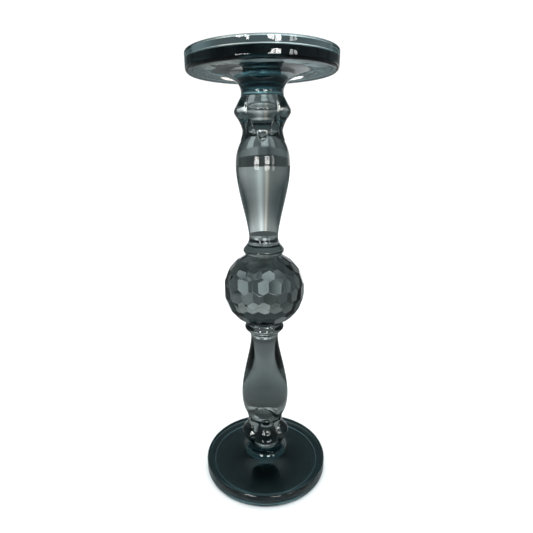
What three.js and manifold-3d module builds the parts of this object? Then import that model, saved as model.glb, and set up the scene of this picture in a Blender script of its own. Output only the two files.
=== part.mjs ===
// Glass pillar candlestick: two pressed glass plates, two petalled glass baluster stems and a
// cut glass ball, bonded end to end on one axis with thin films of clear adhesive.
// Millimetres, +Z up, origin at the centre of the face that the base stands on.

import * as THREE from 'three';
import { mergeVertices } from 'three/addons/utils/BufferGeometryUtils.js';
import Module from 'manifold-3d';

const wasm = await Module();
wasm.setup();

// ---------------------------------------------------------------- driving dimensions

const TOTAL_HEIGHT = 400;
const BALL_CENTRE_HEIGHT = 198;      // the mouldings run outwards from here, up and down

// Clear adhesive between two ground faces.
const BOND_FILM = 0.5;
const BOND_GAP = 0.3;
const BOND_INSET = 0.6;              // the film stops this far inside the glass edge
const JOINT = BOND_FILM + 2 * BOND_GAP;

// Cut ball.
const BALL_RADIUS = 37.2;            // from the centre to the upright facets
const BALL_FLAT = 32.8;              // from the centre to the two ground flats
const BALL_SIDES = 16;
const BALL_ROWS = [
  { latitude: 20, turn: 0.5, radius: BALL_RADIUS },
  { latitude: 40, turn: 0, radius: BALL_RADIUS },
  { latitude: 57, turn: 0.5, radius: BALL_RADIUS - 0.6 },
];
const BALL_TURN = -5.5;              // degrees about Z

// Stems, as distances outwards from the ball's centre and radii.
const STEM_FOOT = BALL_FLAT + JOINT;
const STEM_HEAD = 168.6;
const FOOT_RADIUS = 17.1;
const RING_RADIUS = 18.9;
const NARROW_DISTANCE = 49.5;
const BELLY_DISTANCE = 112.5;
const SHOULDER_RADIUS = 19.9;
const SHOULDER_DISTANCE = 131.7;
const WAIST_RADIUS = 15.8;
const WAIST_DISTANCE = 141;
const HEAD_CORE_RADIUS = 16.6;
const UPPER_STEM = { ringDistance: 37.5, narrowRadius: 13.4, bellyRadius: 23.85, petalTurn: -1.5 };
const LOWER_STEM = { ringDistance: 38.4, narrowRadius: 13.2, bellyRadius: 23.3, petalTurn: 3 };

// Petals: round bars that lean on the stem's core. Each section gives its distance from the
// ball's centre, how far out the petal reaches, and the radius of its rounding.
const PETAL_COUNT = 4;
const PETAL_SECTIONS = [
  { distance: 133.6, reach: 19.35, rounding: 3.0 },
  { distance: 134.2, reach: 19.15, rounding: 4.5 },
  { distance: 136.0, reach: 18.55, rounding: 5.1 },
  { distance: 138.2, reach: 17.9, rounding: 5.9 },
  { distance: 142.0, reach: 17.35, rounding: 8.6 },
  { distance: 146.0, reach: 18.3, rounding: 9.3 },
  { distance: 150.0, reach: 20.1, rounding: 9.8 },
  { distance: 157.4, reach: 24.2, rounding: 12.8 },
  { distance: 163.0, reach: 21.6, rounding: 13.4 },
  { distance: STEM_HEAD, reach: 18.3, rounding: 14.0 },
];
const PETAL_TIP_LENGTH = 0.3;        // the rounded end beyond the first section

// Plates, as distances outwards from the neck's ground face.
const PLATE_START = STEM_HEAD + JOINT;
const NECK_RADIUS = 17.8;
const NECK_FACE_RADIUS = 18.2;
const NECK_LENGTH = 2.6;
const DISH = {
  height: TOTAL_HEIGHT - BALL_CENTRE_HEIGHT - PLATE_START,
  radius: 62.8,
  thickness: 15.4,
  corner: 3,                         // rounding between the flat of the plate and its wall
  rimBevel: 1.2,
  recessRadius: 57,
  recessDepth: 6,
};
const BASE = {
  height: BALL_CENTRE_HEIGHT - PLATE_START,
  radius: 62.3,
  thickness: 13,
  corner: 2.2,
  rimBevel: 2.4,
  recessRadius: 54,
  recessDepth: 3,
};

// Smoothness of the round surfaces.
const STEM_SEGMENTS = 36;
const PETAL_SEGMENTS = 24;
const PLATE_SEGMENTS = 48;
const CURVE_STEPS = 6;

// ---------------------------------------------------------------- materials

function glass(name, color, opacity) {
  return new THREE.MeshStandardMaterial({
    name, color, opacity, transparent: true, roughness: 0.03, metalness: 0,
  });
}

const plateGlass = () => glass('plate_glass', 0x2c3c40, 0.6);
const stemGlass = () => glass('stem_glass', 0x7c8a8a, 0.5);
const ballGlass = () => glass('ball_glass', 0x6c7878, 0.5);
const adhesive = () => glass('adhesive', 0xd8dede, 0.35);

// ---------------------------------------------------------------- solids

const degrees = (angle) => THREE.MathUtils.degToRad(angle);

// Turns an outline of (radius, height) points, from the axis up to the axis, about +Z.
function turned(points, segments) {
  return new THREE.LatheGeometry(points, segments).rotateX(Math.PI / 2);
}

function toSolid(geometry) {
  const bare = geometry.clone();
  bare.deleteAttribute('normal');
  bare.deleteAttribute('uv');
  const merged = mergeVertices(bare, 1e-4);
  return new wasm.Manifold(new wasm.Mesh({
    numProp: 3,
    vertProperties: new Float32Array(merged.attributes.position.array),
    triVerts: new Uint32Array(merged.index.array),
  }));
}

function toGeometry(solid) {
  const mesh = solid.getMesh();
  const geometry = new THREE.BufferGeometry();
  geometry.setAttribute('position', new THREE.BufferAttribute(mesh.vertProperties, 3));
  geometry.setIndex(new THREE.BufferAttribute(mesh.triVerts, 1));
  geometry.computeVertexNormals();
  return geometry;
}

// ---------------------------------------------------------------- ball

// A row of tangent facets above the equator and its mirror image below make a double cone.
function facetRow({ latitude, turn, radius }) {
  const corner = radius / Math.cos(Math.PI / BALL_SIDES);
  const waist = corner / Math.cos(degrees(latitude));
  const tip = radius / Math.sin(degrees(latitude));
  const outline = [new THREE.Vector2(0, -tip), new THREE.Vector2(waist, 0), new THREE.Vector2(0, tip)];
  return turned(outline, BALL_SIDES).rotateZ(turn * 2 * Math.PI / BALL_SIDES);
}

// The equator's own facets are upright, and their prism ends in the ground flats.
function equatorRow() {
  const corner = BALL_RADIUS / Math.cos(Math.PI / BALL_SIDES);
  return turned([
    new THREE.Vector2(0, -BALL_FLAT),
    new THREE.Vector2(corner, -BALL_FLAT),
    new THREE.Vector2(corner, BALL_FLAT),
    new THREE.Vector2(0, BALL_FLAT),
  ], BALL_SIDES);
}

function cutBall() {
  let ball = toSolid(equatorRow());
  for (const row of BALL_ROWS) ball = ball.intersect(toSolid(facetRow(row)));
  return toGeometry(ball);
}

// ---------------------------------------------------------------- stems

// The turned core: foot and ring at the ball, baluster, waist, and the core under the petals.
function stemCore({ ringDistance, narrowRadius, bellyRadius }) {
  const outline = new THREE.Path();
  outline.moveTo(0, STEM_FOOT);
  outline.lineTo(FOOT_RADIUS, STEM_FOOT);
  outline.bezierCurveTo(
    FOOT_RADIUS, STEM_FOOT + 1.6,
    RING_RADIUS, ringDistance - 1.6,
    RING_RADIUS, ringDistance,
  );
  outline.bezierCurveTo(
    RING_RADIUS, ringDistance + 3.4,
    narrowRadius, NARROW_DISTANCE - 7,
    narrowRadius, NARROW_DISTANCE,
  );
  outline.bezierCurveTo(
    narrowRadius, NARROW_DISTANCE + 14,
    bellyRadius, BELLY_DISTANCE - 20.5,
    bellyRadius, BELLY_DISTANCE,
  );
  outline.bezierCurveTo(
    bellyRadius, BELLY_DISTANCE + 10,
    SHOULDER_RADIUS + 2, SHOULDER_DISTANCE - 4.4,
    SHOULDER_RADIUS, SHOULDER_DISTANCE,
  );
  outline.bezierCurveTo(
    SHOULDER_RADIUS - 1.4, SHOULDER_DISTANCE + 3.08,
    WAIST_RADIUS, WAIST_DISTANCE - 5,
    WAIST_RADIUS, WAIST_DISTANCE,
  );
  outline.bezierCurveTo(
    WAIST_RADIUS, WAIST_DISTANCE + 8,
    HEAD_CORE_RADIUS, STEM_HEAD - 8,
    HEAD_CORE_RADIUS, STEM_HEAD,
  );
  outline.lineTo(0, STEM_HEAD);
  return turned(outline.getPoints(CURVE_STEPS), STEM_SEGMENTS);
}

// One petal along +X: a round bar whose every section is pushed out to its reach.
function petal() {
  const stations = new THREE.CatmullRomCurve3(
    PETAL_SECTIONS.map(({ distance, reach, rounding }) => new THREE.Vector3(distance, reach, rounding)),
  ).getPoints(2 * PETAL_SECTIONS.length);
  const first = PETAL_SECTIONS[0];
  const tip = new THREE.Vector3(first.distance - PETAL_TIP_LENGTH, first.reach - first.rounding, 0);
  const head = new THREE.Vector3(STEM_HEAD, 0, 0);
  const sections = [tip, ...stations, head];
  const bar = turned(sections.map(({ x, z }) => new THREE.Vector2(z, x)), PETAL_SEGMENTS);
  const position = bar.attributes.position;
  for (let i = 0; i < position.count; i += 1) {
    const { y: reach, z: rounding } = sections[i % sections.length];
    position.setX(i, position.getX(i) + reach - rounding);
  }
  return bar;
}

function stem(shape) {
  let solid = toSolid(stemCore(shape));
  for (let i = 0; i < PETAL_COUNT; i += 1) {
    const angle = -90 + shape.petalTurn + i * 360 / PETAL_COUNT;
    solid = solid.add(toSolid(petal().rotateZ(degrees(angle))));
  }
  return toGeometry(solid);
}

// ---------------------------------------------------------------- plates

// Neck, flare, flat, outer wall, rim and recess, from the neck's face to the recess's floor.
function plate({ height, radius, thickness, corner, rimBevel, recessRadius, recessDepth }) {
  const innerFace = height - thickness;
  const outline = new THREE.Path();
  outline.moveTo(0, 0);
  outline.lineTo(NECK_FACE_RADIUS, 0);
  outline.lineTo(NECK_RADIUS, NECK_LENGTH);
  outline.bezierCurveTo(
    NECK_RADIUS + 0.6, NECK_LENGTH + 9,
    NECK_RADIUS + 7, innerFace - 1,
    NECK_RADIUS + 26, innerFace,
  );
  outline.absarc(radius - corner, innerFace + corner, corner, -Math.PI / 2, 0);
  outline.lineTo(radius, height - rimBevel);
  outline.lineTo(radius - rimBevel, height);
  outline.lineTo(recessRadius + rimBevel, height);
  outline.lineTo(recessRadius, height - rimBevel);
  outline.lineTo(recessRadius, height - recessDepth);
  outline.lineTo(0, height - recessDepth);
  return turned(outline.getPoints(CURVE_STEPS), PLATE_SEGMENTS);
}

// ---------------------------------------------------------------- adhesive

function bond(glassRadius) {
  const radius = glassRadius - BOND_INSET;
  return turned([
    new THREE.Vector2(0, 0),
    new THREE.Vector2(radius, 0),
    new THREE.Vector2(radius, BOND_FILM),
    new THREE.Vector2(0, BOND_FILM),
  ], STEM_SEGMENTS);
}

// ---------------------------------------------------------------- assembly

function piece(name, geometry, material, distance = 0) {
  const mesh = new THREE.Mesh(geometry, material);
  mesh.name = name;
  mesh.position.z = distance;
  return mesh;
}

// Each half is built outwards from the ball along its own +Z.
function half(names, stemShape, plateShape) {
  const group = new THREE.Group();
  group.add(
    piece(names.ballBond, bond(FOOT_RADIUS), adhesive(), BALL_FLAT + BOND_GAP),
    piece(names.stem, stem(stemShape), stemGlass()),
    piece(names.plateBond, bond(HEAD_CORE_RADIUS), adhesive(), STEM_HEAD + BOND_GAP),
    piece(names.plate, plate(plateShape), plateGlass(), PLATE_START),
  );
  return group;
}

const upperHalf = half({
  ballBond: 'ball_top_bond', stem: 'upper_stem', plateBond: 'dish_bond', plate: 'candle_dish',
}, UPPER_STEM, DISH);

const lowerHalf = half({
  ballBond: 'ball_bottom_bond', stem: 'lower_stem', plateBond: 'base_bond', plate: 'base_disc',
}, LOWER_STEM, BASE);
lowerHalf.rotation.x = Math.PI;

const ball = piece('cut_ball', cutBall(), ballGlass());
ball.rotation.z = degrees(BALL_TURN);

const candlestick = new THREE.Group();
candlestick.add(upperHalf, ball, lowerHalf);
candlestick.position.z = BALL_CENTRE_HEIGHT;

export default candlestick;
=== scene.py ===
"""Glass pillar candlestick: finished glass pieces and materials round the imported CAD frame."""

import bisect
import math

import bmesh
import bpy
from mathutils import Matrix, Vector
from mathutils.kdtree import KDTree


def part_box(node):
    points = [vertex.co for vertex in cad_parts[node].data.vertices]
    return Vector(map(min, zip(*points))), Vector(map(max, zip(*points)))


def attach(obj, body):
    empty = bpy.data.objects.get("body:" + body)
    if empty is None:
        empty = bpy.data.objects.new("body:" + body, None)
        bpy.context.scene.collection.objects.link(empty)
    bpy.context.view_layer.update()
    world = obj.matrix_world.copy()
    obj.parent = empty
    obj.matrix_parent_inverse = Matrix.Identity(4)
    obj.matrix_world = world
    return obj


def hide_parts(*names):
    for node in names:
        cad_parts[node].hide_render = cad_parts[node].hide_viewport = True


MM = 0.001

# ---------------------------------------------------------------- frame

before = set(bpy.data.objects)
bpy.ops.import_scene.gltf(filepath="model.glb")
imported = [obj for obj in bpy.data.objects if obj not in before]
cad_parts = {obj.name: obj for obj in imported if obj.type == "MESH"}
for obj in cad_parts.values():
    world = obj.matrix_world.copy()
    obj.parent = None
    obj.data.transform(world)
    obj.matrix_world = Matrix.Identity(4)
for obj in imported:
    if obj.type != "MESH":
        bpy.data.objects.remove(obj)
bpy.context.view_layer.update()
scene = bpy.context.scene


def middle(node):
    """The height half way up a node, in millimetres."""
    lo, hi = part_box(node)
    return (lo.z + hi.z) / 2 / MM


def reach(node):
    """Half the width of a node, in millimetres."""
    lo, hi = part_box(node)
    return (hi.x - lo.x) / 2 / MM


BALL_HEIGHT = middle("cut_ball")

# ---------------------------------------------------------------- dimensions, millimetres

# The adhesive films are thin. Each ground face stops just short of one.
FILM = 0.12
FILM_CLEARANCE = 0.02
FILM_MARGIN = 0.4              # the rounded edge of a film starts this far inside it
FILM_SEGMENTS = 96
HALF_JOINT = FILM / 2 + FILM_CLEARANCE

CHAMFER = 0.35                 # the ground edge of every bonded face
NECK_MARGIN = 0.2              # a face bonded to a neck ends this far inside its film
TURNED_SHARP_ANGLE = 40        # in degrees: steeper edges than this stay sharp
FACET_SHARP_ANGLE = 2

# Ball.
BALL_RADIUS = 37.2
BALL_SIDES = 16
BALL_ROWS = ((20, 0.5, 37.2), (40, 0.0, 37.2), (57, 0.5, 36.6))   # latitude, turn, radius
BALL_TURN = -5.5
BALL_EDGE = 0.16               # width of the ground edges between facets
BALL_WELD = 0.02               # corners closer than this are one corner

# Stems, as distances outwards from the ball's centre.
RING_RADIUS = 18.9
FOOT_RADIUS = 17.1
NARROW_DISTANCE = 49.5
BELLY_DISTANCE = 112.5
SHOULDER_RADIUS = 19.9
SHOULDER_DISTANCE = 131.7
WAIST_RADIUS = 15.8
WAIST_DISTANCE = 141
HEAD_RADIUS = 16.6
STEMS = {
    "upper_stem": {"ring": 37.5, "narrow": 13.4, "belly": 23.85, "turn": -1.5},
    "lower_stem": {"ring": 38.4, "narrow": 13.2, "belly": 23.3, "turn": 3},
}
STEM_SEGMENTS = 320
CLOSEST_RINGS = 0.08

# Petals: distance from the ball's centre, how far out, and radius of the rounding.
PETALS = 4
PETAL_SECTIONS = (
    (133.3, 19.4, 0.0),
    (133.35, 19.4, 1.6),
    (133.6, 19.35, 3.0),
    (134.2, 19.15, 4.5),
    (136.0, 18.55, 5.1),
    (138.2, 17.9, 5.9),
    (142.0, 17.35, 8.6),
    (146.0, 18.3, 9.3),
    (150.0, 20.1, 9.8),
    (157.4, 24.2, 12.8),
    (163.0, 21.6, 13.4),
    (169.5, 18.0, 14.0),
)
PETAL_BLEND = 0.12
PETAL_STEP = 0.6               # rings along a petal, and the finer ones round its tip
PETAL_TIP_STEP = 0.15
GROOVE_DEPTH = 0.8             # cut round the edge of every petal
GROOVE_WIDTH = 0.7
EDGE_STEP = 0.2                # how finely a petal's edge is searched for
EDGE_HALVINGS = 20

# Plates, as distances outwards from the neck's ground face.
NECK_RADIUS = 17.8
NECK_FACE_RADIUS = 18.2
NECK_LENGTH = 2.6
PLATE_SEGMENTS = 224
FILLET = 1.2                   # at the foot of the recess's wall
SUPPORT = 0.15                 # a ring this far from each rounding keeps the flat beyond it flat
PLATES = {
    "candle_dish": {"thickness": 15.4, "corner": 3.0, "rim": 1.2, "recess": 57, "depth": 6},
    "base_disc": {"thickness": 13, "corner": 2.2, "rim": 2.4, "recess": 54, "depth": 3},
}


# ---------------------------------------------------------------- curves

def bezier(start, lead, arrive, end, steps=14):
    """Points of a cubic curve, without its first."""
    points = []
    for i in range(1, steps + 1):
        t = i / steps
        u = 1 - t
        weights = (u * u * u, 3 * u * u * t, 3 * u * t * t, t * t * t)
        corners = (start, lead, arrive, end)
        points.append(tuple(sum(w * c[k] for w, c in zip(weights, corners)) for k in (0, 1)))
    return points


def arc(centre, radius, first, last, steps=10):
    """Points of an arc between two angles in degrees."""
    points = []
    for i in range(steps + 1):
        angle = math.radians(first + (last - first) * i / steps)
        points.append((centre[0] + radius * math.cos(angle), centre[1] + radius * math.sin(angle)))
    return points


def smooth_table(rows):
    """A function that runs smoothly, without overshoot, through rows of (x, a, b, ...)."""
    xs = [row[0] for row in rows]
    columns = list(zip(*rows))[1:]
    slopes = []
    for ys in columns:
        steps = [(ys[i + 1] - ys[i]) / (xs[i + 1] - xs[i]) for i in range(len(xs) - 1)]
        middle_slopes = [
            0.0 if a * b <= 0 else 2 * a * b / (a + b) for a, b in zip(steps[:-1], steps[1:])
        ]
        slopes.append([steps[0], *middle_slopes, steps[-1]])

    def value(x):
        i = min(max(bisect.bisect_right(xs, x) - 1, 0), len(xs) - 2)
        width = xs[i + 1] - xs[i]
        t = min(max((x - xs[i]) / width, 0.0), 1.0)
        h00 = (1 + 2 * t) * (1 - t) ** 2
        h10 = t * (1 - t) ** 2
        h01 = t * t * (3 - 2 * t)
        h11 = t * t * (t - 1)
        return [
            h00 * ys[i] + h10 * width * m[i] + h01 * ys[i + 1] + h11 * width * m[i + 1]
            for ys, m in zip(columns, slopes)
        ]

    return value


def radius_at(outline):
    """The radius of an outline of (radius, distance) points at any distance along it."""
    distances = [point[1] for point in outline]

    def value(distance):
        i = min(max(bisect.bisect_right(distances, distance) - 1, 0), len(outline) - 2)
        (r0, d0), (r1, d1) = outline[i], outline[i + 1]
        t = min(max((distance - d0) / (d1 - d0), 0.0), 1.0)
        return r0 + (r1 - r0) * t

    return value


# ---------------------------------------------------------------- meshes

def new_piece(name, rings, bonded_rows, pressed_rows=()):
    """A closed skin over rings of points, first and last a single point on the axis.

    Faces between ring i and ring i + 1 are marked as bonded where i is in bonded_rows, and as
    left rippled by the mould where i is in pressed_rows.
    """
    mesh = bpy.data.meshes.new(name)
    points = [point for ring in rings for point in ring]
    starts = [0]
    for ring in rings:
        starts.append(starts[-1] + len(ring))
    faces = []
    bonded = []
    pressed = []
    count = max(len(ring) for ring in rings)
    for row in range(len(rings) - 1):
        a, b = starts[row], starts[row + 1]
        lone_a, lone_b = len(rings[row]) == 1, len(rings[row + 1]) == 1
        for i in range(count):
            j = (i + 1) % count
            if lone_a:
                faces.append((a, b + j, b + i))
            elif lone_b:
                faces.append((a + i, a + j, b))
            else:
                faces.append((a + i, a + j, b + j, b + i))
            bonded.append(float(row in bonded_rows))
            pressed.append(float(row in pressed_rows))
    mesh.from_pydata([Vector(p) * MM for p in points], [], faces)
    for title, values in (("bonded", bonded), ("pressed", pressed)):
        mark = mesh.attributes.new(title, "FLOAT", "FACE")
        mark.data.foreach_set("value", values)
    return finish_mesh(name, mesh, TURNED_SHARP_ANGLE)


def finish_mesh(name, mesh, sharp_angle):
    """The object for a mesh, smooth except across edges steeper than an angle in degrees."""
    shape = bmesh.new()
    shape.from_mesh(mesh)
    bmesh.ops.recalc_face_normals(shape, faces=shape.faces)
    shape.to_mesh(mesh)
    shape.free()
    mesh.polygons.foreach_set("use_smooth", [True] * len(mesh.polygons))
    mesh.set_sharp_from_angle(angle=math.radians(sharp_angle))
    piece = bpy.data.objects.new(name, mesh)
    scene.collection.objects.link(piece)
    return piece


def ring_of(radius, height, segments):
    """A level ring. The radius is a number, or a function of the angle about the axis."""
    points = []
    for i in range(segments):
        angle = 2 * math.pi * i / segments
        r = radius(angle) if callable(radius) else radius
        points.append((r * math.cos(angle), r * math.sin(angle), height))
    return points


# ---------------------------------------------------------------- stems

def core_outline(shape, foot, head):
    """(radius, distance) points of a stem without its petals, from its foot to its head."""
    ring, narrow, belly = shape["ring"], shape["narrow"], shape["belly"]
    points = [(FOOT_RADIUS, foot)]
    points += bezier((FOOT_RADIUS, foot), (FOOT_RADIUS, foot + 1.6),
                     (RING_RADIUS, ring - 1.6), (RING_RADIUS, ring))
    points += bezier((RING_RADIUS, ring), (RING_RADIUS, ring + 3.4),
                     (narrow, NARROW_DISTANCE - 7), (narrow, NARROW_DISTANCE), 28)
    points += bezier((narrow, NARROW_DISTANCE), (narrow, NARROW_DISTANCE + 14),
                     (belly, BELLY_DISTANCE - 20.5), (belly, BELLY_DISTANCE), 36)
    shoulder = (SHOULDER_RADIUS, SHOULDER_DISTANCE)
    points += bezier((belly, BELLY_DISTANCE), (belly, BELLY_DISTANCE + 10),
                     (SHOULDER_RADIUS + 2, SHOULDER_DISTANCE - 4.4), shoulder, 20)
    points += bezier(shoulder, (SHOULDER_RADIUS - 1.4, SHOULDER_DISTANCE + 3.08),
                     (WAIST_RADIUS, WAIST_DISTANCE - 5), (WAIST_RADIUS, WAIST_DISTANCE), 16)
    points += bezier((WAIST_RADIUS, WAIST_DISTANCE), (WAIST_RADIUS, WAIST_DISTANCE + 8),
                     (HEAD_RADIUS, head - 8), (HEAD_RADIUS, head))
    return points


def petal_edge(core, petal, start, head):
    """A search tree of points (across, distance) along one side of a petal's edge."""
    def rise(turn, distance):
        far, rounding = petal(distance)
        centre = far - rounding
        across = centre * math.sin(turn)
        if rounding <= abs(across):
            return -1.0
        out = centre * math.cos(turn) + math.sqrt(rounding ** 2 - across ** 2)
        return out - core(distance)

    count = int((head - start) / EDGE_STEP)
    edge = KDTree(count)
    for i in range(count):
        distance = start + EDGE_STEP * i
        inner, outer = 0.0, math.pi / PETALS
        if rise(outer, distance) < 0:
            for _ in range(EDGE_HALVINGS):
                half = (inner + outer) / 2
                inner, outer = (half, outer) if rise(half, distance) > 0 else (inner, half)
        edge.insert((core(distance) * outer, distance, 0), i)
    edge.balance()
    return edge


def stem(name, side, foot, head):
    """One stem, from the ball at distance foot to the plate at distance head."""
    shape = STEMS[name]
    outline = core_outline(shape, foot, head)
    core = radius_at(outline)
    petal = smooth_table(PETAL_SECTIONS)
    front = -math.pi / 2 + math.radians(shape["turn"])
    start = PETAL_SECTIONS[0][0]
    edge = petal_edge(core, petal, start, head)

    def surface(distance, inset=0.0):
        plain = core(distance) - inset
        if distance < start - 4 * GROOVE_WIDTH:
            return plain
        far, rounding = petal(distance)
        centre = far - rounding

        def radius(angle):
            turn = (angle - front + math.pi / PETALS) % (2 * math.pi / PETALS) - math.pi / PETALS
            gap = edge.find((core(distance) * abs(turn), distance, 0))[2] / GROOVE_WIDTH
            groove = GROOVE_DEPTH * math.exp(-gap * gap)
            across = centre * math.sin(turn)
            if distance < start or rounding <= abs(across):
                return plain - groove
            out = centre * math.cos(turn) + math.sqrt(rounding ** 2 - across ** 2) - inset
            mix = max(PETAL_BLEND - abs(out - plain), 0.0) / PETAL_BLEND
            return max(out, plain) + mix * mix * PETAL_BLEND / 4 - groove

        return radius

    distances = sorted({
        *(d for _, d in outline if foot + CHAMFER < d < head - CHAMFER),
        *(start + PETAL_TIP_STEP * i for i in range(-16, 24)),
        *(start + PETAL_STEP * i for i in range(int((head - CHAMFER - start) / PETAL_STEP) + 1)),
    })
    spaced = [distances[0]]
    for distance in distances[1:]:
        if distance - spaced[-1] > CLOSEST_RINGS:
            spaced.append(distance)
    levels = [foot + CHAMFER, *spaced, head - CHAMFER]

    def level(distance):
        return BALL_HEIGHT + side * distance

    bond = reach("ball_top_bond")
    plate_bond = reach("dish_bond")
    rings = [[(0, 0, level(foot))]]
    rings.append(ring_of(bond, level(foot), STEM_SEGMENTS))
    rings.append(ring_of(surface(foot + CHAMFER, CHAMFER), level(foot), STEM_SEGMENTS))
    rings += [ring_of(surface(d), level(d), STEM_SEGMENTS) for d in levels]
    rings.append(ring_of(surface(head - CHAMFER, CHAMFER), level(head), STEM_SEGMENTS))
    rings.append(ring_of(plate_bond - NECK_MARGIN, level(head), STEM_SEGMENTS))
    rings.append([(0, 0, level(head))])
    petalled = len([d for d in levels if d < start])
    return new_piece(name, rings, {0, len(rings) - 2}, range(petalled, len(rings)))


# ---------------------------------------------------------------- plates

def plate(name, side, face):
    """One plate, outwards from the neck's ground face at distance face from the ball."""
    shape = PLATES[name]
    lo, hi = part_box(name)
    outer = (hi.z / MM - BALL_HEIGHT) if side > 0 else (BALL_HEIGHT - lo.z / MM)
    inner = outer - shape["thickness"]
    radius = reach(name)
    corner, rim = shape["corner"], shape["rim"]
    recess, floor = shape["recess"], outer - shape["depth"]
    neck = face + NECK_LENGTH
    outline = [
        (reach("dish_bond") - NECK_MARGIN, face),
        (NECK_FACE_RADIUS - CHAMFER, face),
        (NECK_FACE_RADIUS, face + CHAMFER),
        (NECK_RADIUS, neck),
    ]
    outline += bezier((NECK_RADIUS, neck), (NECK_RADIUS + 0.6, neck + 9),
                      (NECK_RADIUS + 7, inner - 1), (NECK_RADIUS + 26, inner), 40)
    lip = rim * 0.6
    outline.append((radius - corner - SUPPORT, inner))
    outline += arc((radius - corner, inner + corner), corner, -90, 0, 12)
    outline += [(radius, inner + corner + SUPPORT), (radius, outer - rim - SUPPORT)]
    outline += arc((radius - rim, outer - rim), rim, 0, 90, 10)
    outline += [(radius - rim - SUPPORT, outer), (recess + lip + SUPPORT, outer)]
    outline += arc((recess + lip, outer - lip), lip, 90, 180, 8)
    outline += [(recess, outer - lip - SUPPORT), (recess, floor + FILLET + SUPPORT)]
    outline += arc((recess - FILLET, floor + FILLET), FILLET, 0, -90, 8)
    outline.append((recess - FILLET - SUPPORT, floor))
    rings = [[(0, 0, BALL_HEIGHT + side * face)]]
    rings += [ring_of(r, BALL_HEIGHT + side * d, PLATE_SEGMENTS) for r, d in outline]
    rings.append([(0, 0, BALL_HEIGHT + side * floor)])
    return new_piece(name, rings, {0})


# ---------------------------------------------------------------- ball

def clipped(outline, normal, distance):
    """The part of a flat convex outline that lies behind a plane."""
    kept = []
    for start, end in zip(outline, outline[1:] + outline[:1]):
        over, over_next = start.dot(normal) - distance, end.dot(normal) - distance
        if over <= 0:
            kept.append(start)
        if (over < 0 < over_next) or (over_next < 0 < over):
            kept.append(start.lerp(end, over / (over - over_next)))
    return kept


def cut_ball(top, bottom):
    """The ball, with each facet bounded by all the other cuts, and finely ground edges.

    Its bonded flats are top above its centre and bottom below it.
    """
    cuts = []
    rows = [(0, 0.0, BALL_RADIUS)]
    rows += [(sign * lat, turn, r) for lat, turn, r in BALL_ROWS for sign in (1, -1)]
    for latitude, turn, radius in rows:
        rise = math.radians(latitude)
        for i in range(BALL_SIDES):
            angle = 2 * math.pi * (i + turn + 0.5) / BALL_SIDES + math.radians(BALL_TURN)
            normal = Vector((math.cos(rise) * math.cos(angle), math.cos(rise) * math.sin(angle),
                             math.sin(rise)))
            cuts.append((normal, radius))
    cuts.append((Vector((0, 0, 1)), top))
    cuts.append((Vector((0, 0, -1)), bottom))

    shape = bmesh.new()
    for cut in cuts:
        normal, distance = cut
        across = normal.orthogonal().normalized() * 2 * BALL_RADIUS
        along = normal.cross(across)
        middle_point = normal * distance
        outline = [middle_point + across + along, middle_point - across + along,
                   middle_point - across - along, middle_point + across - along]
        for other in cuts:
            if other is not cut:
                outline = clipped(outline, *other)
        if len(outline) > 2:
            shape.faces.new([shape.verts.new(point) for point in outline])
    bmesh.ops.remove_doubles(shape, verts=shape.verts, dist=BALL_WELD)
    bmesh.ops.bevel(
        shape, geom=shape.edges[:], offset=BALL_EDGE, offset_type="OFFSET", segments=1,
        affect="EDGES", clamp_overlap=True,
    )
    flats = sorted(shape.faces, key=lambda face: abs(face.normal.z) * face.calc_area())[-2:]
    bmesh.ops.inset_individual(shape, faces=flats, thickness=CHAMFER, use_even_offset=True)
    mark = shape.faces.layers.float.new("bonded")
    for face in shape.faces:
        face[mark] = float(face in flats)
    bmesh.ops.triangulate(shape, faces=[f for f in shape.faces if len(f.verts) > 4])
    bmesh.ops.scale(shape, vec=(MM, MM, MM), verts=shape.verts)
    bmesh.ops.translate(shape, vec=(0, 0, BALL_HEIGHT * MM), verts=shape.verts)
    mesh = bpy.data.meshes.new("cut_ball")
    shape.to_mesh(mesh)
    shape.free()
    return finish_mesh("cut_ball", mesh, FACET_SHARP_ANGLE)


# ---------------------------------------------------------------- adhesive films

def film(name):
    """A thin disc with a slightly bulging edge, where the adhesive was pressed out."""
    height = middle(name)
    radius = reach(name)
    lower, upper = height - FILM / 2, height + FILM / 2
    bulge = FILM / 2
    rings = [
        [(0, 0, lower)],
        ring_of(radius - FILM_MARGIN, lower, FILM_SEGMENTS),
        ring_of(radius - bulge, lower, FILM_SEGMENTS),
        ring_of(radius, height, FILM_SEGMENTS),
        ring_of(radius - bulge, upper, FILM_SEGMENTS),
        ring_of(radius - FILM_MARGIN, upper, FILM_SEGMENTS),
        [(0, 0, upper)],
    ]
    return new_piece(name, rings, {0, 1, 4, 5})


# ---------------------------------------------------------------- shader helpers

def set_ramp(ramp, stops):
    """Sets a colour ramp's stops from (position, (r, g, b)) pairs."""
    while len(ramp.elements) > 1:
        ramp.elements.remove(ramp.elements[-1])
    ramp.elements[0].position = stops[0][0]
    ramp.elements[0].color = (*stops[0][1], 1)
    for position, colour in stops[1:]:
        ramp.elements.new(position).color = (*colour, 1)


def calculate(tree, operation, *values, clamp=False):
    """A maths node fed with numbers or sockets, as its output socket."""
    node = tree.nodes.new("ShaderNodeMath")
    node.operation = operation
    node.use_clamp = clamp
    for socket, value in zip(node.inputs, values):
        if isinstance(value, (int, float)):
            socket.default_value = value
        else:
            tree.links.new(value, socket)
    return node.outputs[0]


def smooth_step(tree, value, start, end):
    """A number that rises smoothly from 0 to 1 as a socket's value goes from start to end."""
    node = tree.nodes.new("ShaderNodeMapRange")
    node.interpolation_type = "SMOOTHSTEP"
    node.inputs["From Min"].default_value = start
    node.inputs["From Max"].default_value = end
    tree.links.new(value, node.inputs["Value"])
    return node.outputs["Result"]


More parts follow.
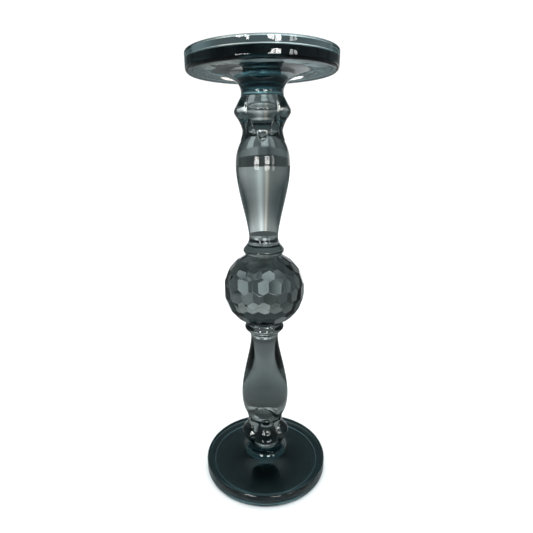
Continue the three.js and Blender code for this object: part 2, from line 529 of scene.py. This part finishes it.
def blend(tree, share, first, second):
    """Mixes two numbers or sockets."""
    rest = calculate(tree, "SUBTRACT", 1.0, share)
    return calculate(tree, "ADD", calculate(tree, "MULTIPLY", rest, first),
                     calculate(tree, "MULTIPLY", share, second))


def azimuth_of(tree, axes):
    """Degrees from straight behind, positive to the right."""
    turn = calculate(tree, "ARCTAN2", axes.outputs["X"], axes.outputs["Y"])
    return calculate(tree, "MULTIPLY", turn, 180 / math.pi)


def shade_of(tree, value, stops, start, end):
    """A number that runs through (value, number) stops between start and end."""
    position = calculate(tree, "DIVIDE", calculate(tree, "SUBTRACT", value, start), end - start,
                         clamp=True)
    node = tree.nodes.new("ShaderNodeValToRGB")
    set_ramp(node.color_ramp, [((x - start) / (end - start), (y, y, y)) for x, y in stops])
    tree.links.new(position, node.inputs["Fac"])
    return node.outputs["Color"]


# ---------------------------------------------------------------- materials

# Ripples that the mould left on the petals, millimetres.
MOULD_SIZE = 3.2
MOULD_HEIGHT = 0.11

GLASS_IOR = 1.52
CLOUD_SCALE = 70               # faint patches of tint and wear, per metre


def glass(name, colour, absorb_colour, absorb_density, ripple_size, ripple_height, rough):
    """Polished glass with a body tint, fire-polished ripples and slight wear of the polish.

    Faces marked as bonded are wetted by adhesive, so light passes them without bending.
    """
    material = bpy.data.materials.new(name)
    material.use_nodes = True
    tree = material.node_tree
    nodes, links = tree.nodes, tree.links
    nodes.clear()
    out = nodes.new("ShaderNodeOutputMaterial")
    skin = nodes.new("ShaderNodeBsdfGlass")
    skin.inputs["IOR"].default_value = GLASS_IOR
    place = nodes.new("ShaderNodeTexCoord")

    ripple = nodes.new("ShaderNodeTexNoise")
    ripple.inputs["Scale"].default_value = 1 / (ripple_size * MM)
    ripple.inputs["Detail"].default_value = 1.5
    ripple.inputs["Roughness"].default_value = 0.4
    bump = nodes.new("ShaderNodeBump")
    bump.inputs["Strength"].default_value = 1.0
    bump.inputs["Distance"].default_value = MM
    mould = nodes.new("ShaderNodeTexNoise")
    mould.inputs["Scale"].default_value = 1 / (MOULD_SIZE * MM)
    mould.inputs["Detail"].default_value = 2
    pressed = nodes.new("ShaderNodeAttribute")
    pressed.attribute_name = "pressed"
    fine = calculate(tree, "MULTIPLY", pressed.outputs["Fac"], MOULD_HEIGHT)
    broad = calculate(tree, "MULTIPLY", ripple.outputs["Fac"], ripple_height)
    height = calculate(tree, "ADD", broad, calculate(tree, "MULTIPLY", mould.outputs["Fac"], fine))
    links.new(place.outputs["Object"], ripple.inputs["Vector"])
    links.new(place.outputs["Object"], mould.inputs["Vector"])
    links.new(height, bump.inputs["Height"])
    links.new(bump.outputs["Normal"], skin.inputs["Normal"])

    cloud = nodes.new("ShaderNodeTexNoise")
    cloud.inputs["Scale"].default_value = CLOUD_SCALE
    cloud.inputs["Detail"].default_value = 3
    tint = nodes.new("ShaderNodeValToRGB")
    tint.color_ramp.elements[0].position = 0.3
    tint.color_ramp.elements[0].color = (*(c * 0.95 for c in colour), 1)
    tint.color_ramp.elements[1].position = 0.7
    tint.color_ramp.elements[1].color = (*colour, 1)
    links.new(place.outputs["Object"], cloud.inputs["Vector"])
    links.new(cloud.outputs["Fac"], tint.inputs["Fac"])
    links.new(tint.outputs["Color"], skin.inputs["Color"])

    wear = nodes.new("ShaderNodeMapRange")
    wear.inputs["From Min"].default_value = 0.35
    wear.inputs["From Max"].default_value = 0.75
    wear.inputs["To Min"].default_value = 0.0
    wear.inputs["To Max"].default_value = rough
    links.new(cloud.outputs["Fac"], wear.inputs["Value"])
    links.new(wear.outputs["Result"], skin.inputs["Roughness"])

    wetted = nodes.new("ShaderNodeBsdfTransparent")
    mark = nodes.new("ShaderNodeAttribute")
    mark.attribute_name = "bonded"
    joined = nodes.new("ShaderNodeMixShader")
    links.new(mark.outputs["Fac"], joined.inputs["Fac"])
    links.new(skin.outputs[0], joined.inputs[1])
    links.new(wetted.outputs[0], joined.inputs[2])
    links.new(joined.outputs[0], out.inputs["Surface"])

    if absorb_density:
        body = nodes.new("ShaderNodeVolumeAbsorption")
        body.inputs["Color"].default_value = (*absorb_colour, 1)
        body.inputs["Density"].default_value = absorb_density
        links.new(body.outputs[0], out.inputs["Volume"])
    return material


plate_glass = glass(
    "plate_glass_finish", colour=(0.97, 1, 1), absorb_colour=(0.38, 0.56, 0.59),
    absorb_density=90, ripple_size=12, ripple_height=0.09, rough=0.02,
)
stem_glass = glass(
    "stem_glass_finish", colour=(0.98, 1, 1), absorb_colour=(0.34, 0.40, 0.40),
    absorb_density=50, ripple_size=11, ripple_height=0.05, rough=0.02,
)
ball_glass = glass(
    "ball_glass_finish", colour=(0.98, 1, 1), absorb_colour=(0.34, 0.39, 0.39),
    absorb_density=38, ripple_size=30, ripple_height=0.002, rough=0.004,
)
adhesive = glass(
    "adhesive_finish", colour=(1, 0.99, 0.96), absorb_colour=(1, 1, 1),
    absorb_density=0, ripple_size=2, ripple_height=0.02, rough=0.1,
)

# ---------------------------------------------------------------- assembly

# How far each film's middle is from the ball's centre.
dish_bond, ball_top_bond, ball_bottom_bond, base_bond = (
    abs(middle(name) - BALL_HEIGHT)
    for name in ("dish_bond", "ball_top_bond", "ball_bottom_bond", "base_bond")
)
candle_dish = plate("candle_dish", 1, dish_bond + HALF_JOINT)
base_disc = plate("base_disc", -1, base_bond + HALF_JOINT)
upper_stem = stem("upper_stem", 1, ball_top_bond + HALF_JOINT, dish_bond - HALF_JOINT)
lower_stem = stem("lower_stem", -1, ball_bottom_bond + HALF_JOINT, base_bond - HALF_JOINT)
ball = cut_ball(ball_top_bond - HALF_JOINT, ball_bottom_bond - HALF_JOINT)

finished = {
    "candle_dish": (candle_dish, plate_glass, "plate_glass"),
    "base_disc": (base_disc, plate_glass, "plate_glass"),
    "upper_stem": (upper_stem, stem_glass, "stem_glass"),
    "lower_stem": (lower_stem, stem_glass, "stem_glass"),
    "cut_ball": (ball, ball_glass, "ball_glass"),
}
for node in ("dish_bond", "ball_top_bond", "ball_bottom_bond", "base_bond"):
    finished[node] = (film(node), adhesive, "adhesive")

for node, (piece, material, slot) in finished.items():
    piece.name = node + "_finished"
    piece.data.materials.append(material)
    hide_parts(node)
    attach(piece, "root")

# ---------------------------------------------------------------- stage and light

# The floor is plain and pale where the camera sees it. To every other ray its colour carries these
# painted shades and painted light, set so that the glass gathers about the right amount: a painted
# shadow under the base and painted bands of light and shade beyond it by distance in metres, and
# further out painted light and shade by azimuth in degrees.
FLOOR_PALE = 0.9
FLOOR_NEAR = (
    (0.0, 0.05), (0.03, 0.07), (0.05, 0.14), (0.066, 0.30), (0.085, 0.40), (0.11, 0.46),
    (0.13, 0.30), (0.16, 0.22), (0.22, 0.11), (0.33, 0.12), (0.45, 0.30),
)
FLOOR_MIDDLE = (
    (-90, 0.08), (-50, 0.14), (-32, 0.22), (-21, 0.18), (-18, 0.55), (-13, 0.50), (-10, 0.20),
    (-7, 0.85), (-2, 1.15), (2, 0.95), (4, 0.24), (15, 0.26), (17, 0.90), (27, 0.85), (30, 0.26),
    (50, 0.12), (90, 0.08),
)
FLOOR_FAR = (
    (-90, 0.10), (-50, 0.22), (-30, 0.30), (-20, 0.28), (-13, 0.24), (-9, 0.16), (-6, 0.18),
    (-3, 0.26), (3, 0.26), (6, 0.30), (9, 0.60), (16, 0.54), (22, 0.46), (28, 0.38), (38, 0.30),
    (50, 0.20), (90, 0.10),
)
# Painted shade of the floor furthest out.
FLOOR_END = 0.12
NEAR_ENDS = (0.30, 0.42)       # each shade gives way to the next between these distances
MIDDLE_ENDS = (0.85, 1.05)
FAR_ENDS = (1.68, 1.92)
FLOOR_HALF_WIDTH = 8
FLOOR_GAP = 0.0003             # below the face that the base stands on


def floor_material():
    """A matt floor, pale to the camera, with painted shade and painted light by place for every
    other ray.
    """
    material = bpy.data.materials.new("pale_floor_painted_shade")
    material.use_nodes = True
    tree = material.node_tree
    nodes, links = tree.nodes, tree.links
    skin = nodes["Principled BSDF"]
    skin.inputs["Roughness"].default_value = 0.9
    skin.inputs["Specular IOR Level"].default_value = 0.0
    place = nodes.new("ShaderNodeTexCoord")
    axes = nodes.new("ShaderNodeSeparateXYZ")
    links.new(place.outputs["Object"], axes.inputs[0])
    span = nodes.new("ShaderNodeVectorMath")
    span.operation = "LENGTH"
    links.new(place.outputs["Object"], span.inputs[0])
    distance = span.outputs["Value"]
    near = shade_of(tree, distance, FLOOR_NEAR, 0, 1)
    azimuth = azimuth_of(tree, axes)
    middle_shade = shade_of(tree, azimuth, FLOOR_MIDDLE, -90, 90)
    far = shade_of(tree, azimuth, FLOOR_FAR, -90, 90)
    # Painted shadow and light near the base, then painted light and shade by azimuth further out.
    shade = blend(tree, smooth_step(tree, distance, *NEAR_ENDS), near, middle_shade)
    shade = blend(tree, smooth_step(tree, distance, *MIDDLE_ENDS), shade, far)
    shade = blend(tree, smooth_step(tree, distance, *FAR_ENDS), shade, FLOOR_END)
    # The camera sees the pale floor; every other ray sees the painted shade and light.
    path = nodes.new("ShaderNodeLightPath")
    colour = blend(tree, path.outputs["Is Camera Ray"], shade, FLOOR_PALE)
    links.new(colour, skin.inputs["Base Color"])
    return material


floor_mesh = bpy.data.meshes.new("floor")
corners = [(x * FLOOR_HALF_WIDTH, y * FLOOR_HALF_WIDTH, 0)
           for x, y in ((-1, -1), (1, -1), (1, 1), (-1, 1))]
floor_mesh.from_pydata(corners, [], [(0, 1, 2, 3)])
floor = bpy.data.objects.new("floor", floor_mesh)
floor.location.z = -FLOOR_GAP
floor_mesh.materials.append(floor_material())
scene.collection.objects.link(floor)


def lamp(name, place, target, width, height, watts, colour):
    """A rectangular light at a place, turned towards a target."""
    data = bpy.data.lights.new(name, "AREA")
    data.shape = "RECTANGLE"
    data.size = width
    data.size_y = height
    data.energy = watts
    data.color = colour
    obj = bpy.data.objects.new(name, data)
    obj.location = place
    obj.rotation_euler = (Vector(target) - Vector(place)).to_track_quat("-Z", "Y").to_euler()
    scene.collection.objects.link(obj)
    return obj


SUN_STRENGTH = 3.9
SUN_ANGLE = 1.6                # radians across, for soft shadows
sky_light = bpy.data.lights.new("soft_overhead", "SUN")
sky_light.energy = SUN_STRENGTH
sky_light.angle = SUN_ANGLE
overhead = bpy.data.objects.new("soft_overhead", sky_light)
scene.collection.objects.link(overhead)
overhead.visible_glossy = False
overhead.visible_transmission = False

# Three paned windows behind the camera, each two panes wide and four panes high. Only
# reflections show them.
WINDOW_DISTANCE = 2.5
WINDOW_COLOUR = (1.0, 0.985, 0.97)
WINDOWS = ((-27, 0.86, 22), (16.5, 0.80, 22), (43, 0.46, 8))    # azimuth, width, radiance
# Bottom, top and share of the window's radiance.
PANE_ROWS = ((0.05, 0.36, 0.4), (0.41, 0.72, 0.75), (0.77, 0.885, 1.0), (0.96, 1.08, 1.0))
BAR = 0.05
for number, (azimuth, width, radiance) in enumerate(WINDOWS):
    turn = math.radians(azimuth)
    away = Vector((math.sin(turn), -math.cos(turn), 0))
    along = Vector((math.cos(turn), math.sin(turn), 0))
    pane_width = (width - BAR) / 2
    for column in (-1, 1):
        for row, (sill, lintel, share) in enumerate(PANE_ROWS):
            pane_height = lintel - sill
            middle_height = (sill + lintel) / 2
            spot = (away * WINDOW_DISTANCE + along * column * (pane_width + BAR) / 2
                    + Vector((0, 0, middle_height)))
            watts = radiance * share * math.pi * pane_width * pane_height
            pane = lamp(f"window_{number}_{column}_{row}", spot, (0, 0, middle_height),
                        pane_width, pane_height, watts, WINDOW_COLOUR)
            pane.visible_diffuse = False
            pane.visible_transmission = False

world = bpy.data.worlds.new("studio")
scene.world = world
world.use_nodes = True
sky = world.node_tree
nodes, links = sky.nodes, sky.links
nodes.clear()

# The camera sees a plain white world. Every other ray sees a backdrop, brightest in the middle
# and fading upwards, under a dim room. Its shades are set so that the glass gathers about the
# right amount. Azimuth is in degrees from straight behind, positive to the right.
SEEN_STRENGTH = 1.05
BACKDROP = (
    (-90, 0.10), (-58, 0.12), (-50, 0.34), (-30, 0.52), (-16, 0.60), (-9, 0.72), (-7, 1.20),
    (-5, 2.10), (-3, 1.85), (-1.5, 1.30), (0, 1.40), (3, 2.10), (6, 2.30), (9, 1.80), (13, 1.32),
    (22, 1.12), (30, 1.16), (34, 1.05), (50, 0.68), (58, 0.12), (90, 0.10),
)
ROOM = (0.12, 0.26)            # darkest and palest parts of the dim room
CLUTTER_SCALE = 2.6
CLUTTER_ENDS = (0.38, 0.64)    # noise below and above these is all dark and all pale
CEILING = 0.55
CEILING_ENDS = (0.70, 0.95)
FADE = (0.02, 0.25)            # the backdrop ends between these heights of the unit sphere
UPPER_WALL = (0.25, 0.42)      # above this the room is even, up to the ceiling
UPPER_WALL_SHADE = 0.17
DIM_COLOUR = (0.78, 1.0, 1.06)
WARM_COLOUR = (1.0, 0.90, 0.82)
WARM = ((-20, 0.0), (-9, 0.1), (-6.5, 1.0), (-3, 1.0), (-1.5, 0.2), (3, 0.0), (20, 0.0))

place = nodes.new("ShaderNodeTexCoord")
axes = nodes.new("ShaderNodeSeparateXYZ")
links.new(place.outputs["Generated"], axes.inputs[0])
height = axes.outputs["Z"]
clutter = nodes.new("ShaderNodeTexNoise")
clutter.inputs["Scale"].default_value = CLUTTER_SCALE
clutter.inputs["Detail"].default_value = 2.5
links.new(place.outputs["Generated"], clutter.inputs["Vector"])
dim = blend(sky, smooth_step(sky, clutter.outputs["Fac"], *CLUTTER_ENDS), *ROOM)
dim = blend(sky, smooth_step(sky, height, *UPPER_WALL), dim, UPPER_WALL_SHADE)
low = calculate(sky, "SUBTRACT", 1.0, smooth_step(sky, height, *FADE))
azimuth = azimuth_of(sky, axes)
backdrop = calculate(sky, "MULTIPLY", shade_of(sky, azimuth, BACKDROP, -90, 90), low)
above = calculate(sky, "MULTIPLY", smooth_step(sky, height, *CEILING_ENDS), CEILING)
room = calculate(sky, "ADD", calculate(sky, "MAXIMUM", backdrop, dim), above)
seen = nodes.new("ShaderNodeLightPath").outputs["Is Camera Ray"]
plain = calculate(sky, "MAXIMUM", seen, calculate(sky, "MULTIPLY", backdrop, 2.0, clamp=True))
warmth = calculate(sky, "MULTIPLY", shade_of(sky, azimuth, WARM, -20, 20),
                   calculate(sky, "SUBTRACT", 1.0, seen))
colour = nodes.new("ShaderNodeCombineColor")
for socket, cool, warm in zip(colour.inputs, DIM_COLOUR, WARM_COLOUR):
    links.new(blend(sky, plain, cool, blend(sky, warmth, 1.0, warm)), socket)
shade = nodes.new("ShaderNodeBackground")
links.new(colour.outputs[0], shade.inputs["Color"])
links.new(blend(sky, seen, room, SEEN_STRENGTH), shade.inputs["Strength"])
out = nodes.new("ShaderNodeOutputWorld")
links.new(shade.outputs[0], out.inputs["Surface"])

scene.view_settings.view_transform = "Standard"
scene.cycles.max_bounces = 32
scene.cycles.transmission_bounces = 32
scene.cycles.glossy_bounces = 16
scene.cycles.transparent_max_bounces = 48
scene.cycles.sample_clamp_indirect = 3.0

# ---------------------------------------------------------------- camera

CAMERA_PLACE = Vector((-0.003522, -0.37293, 0.32482))
CAMERA_PITCH = 0.288026        # radians below level
CAMERA_ROLL = -0.011684
LENS = 27.85                   # millimetres, on a frame 36 wide
SHIFT = (0.01184, 0.00953)

camera_data = bpy.data.cameras.new("camera")
camera_data.sensor_fit = "HORIZONTAL"
camera_data.sensor_width = 36
camera_data.lens = LENS
camera_data.shift_x, camera_data.shift_y = SHIFT
camera_data.clip_start = 0.01
camera = bpy.data.objects.new("camera", camera_data)
forward = Vector((0, math.cos(CAMERA_PITCH), -math.sin(CAMERA_PITCH)))
right = Vector((1, 0, 0))
upward = right.cross(forward)
turned = Matrix((right, upward, -forward)).transposed() @ Matrix.Rotation(CAMERA_ROLL, 3, "Z")
camera.matrix_world = Matrix.Translation(CAMERA_PLACE) @ turned.to_4x4()
scene.collection.objects.link(camera)
scene.camera = camera
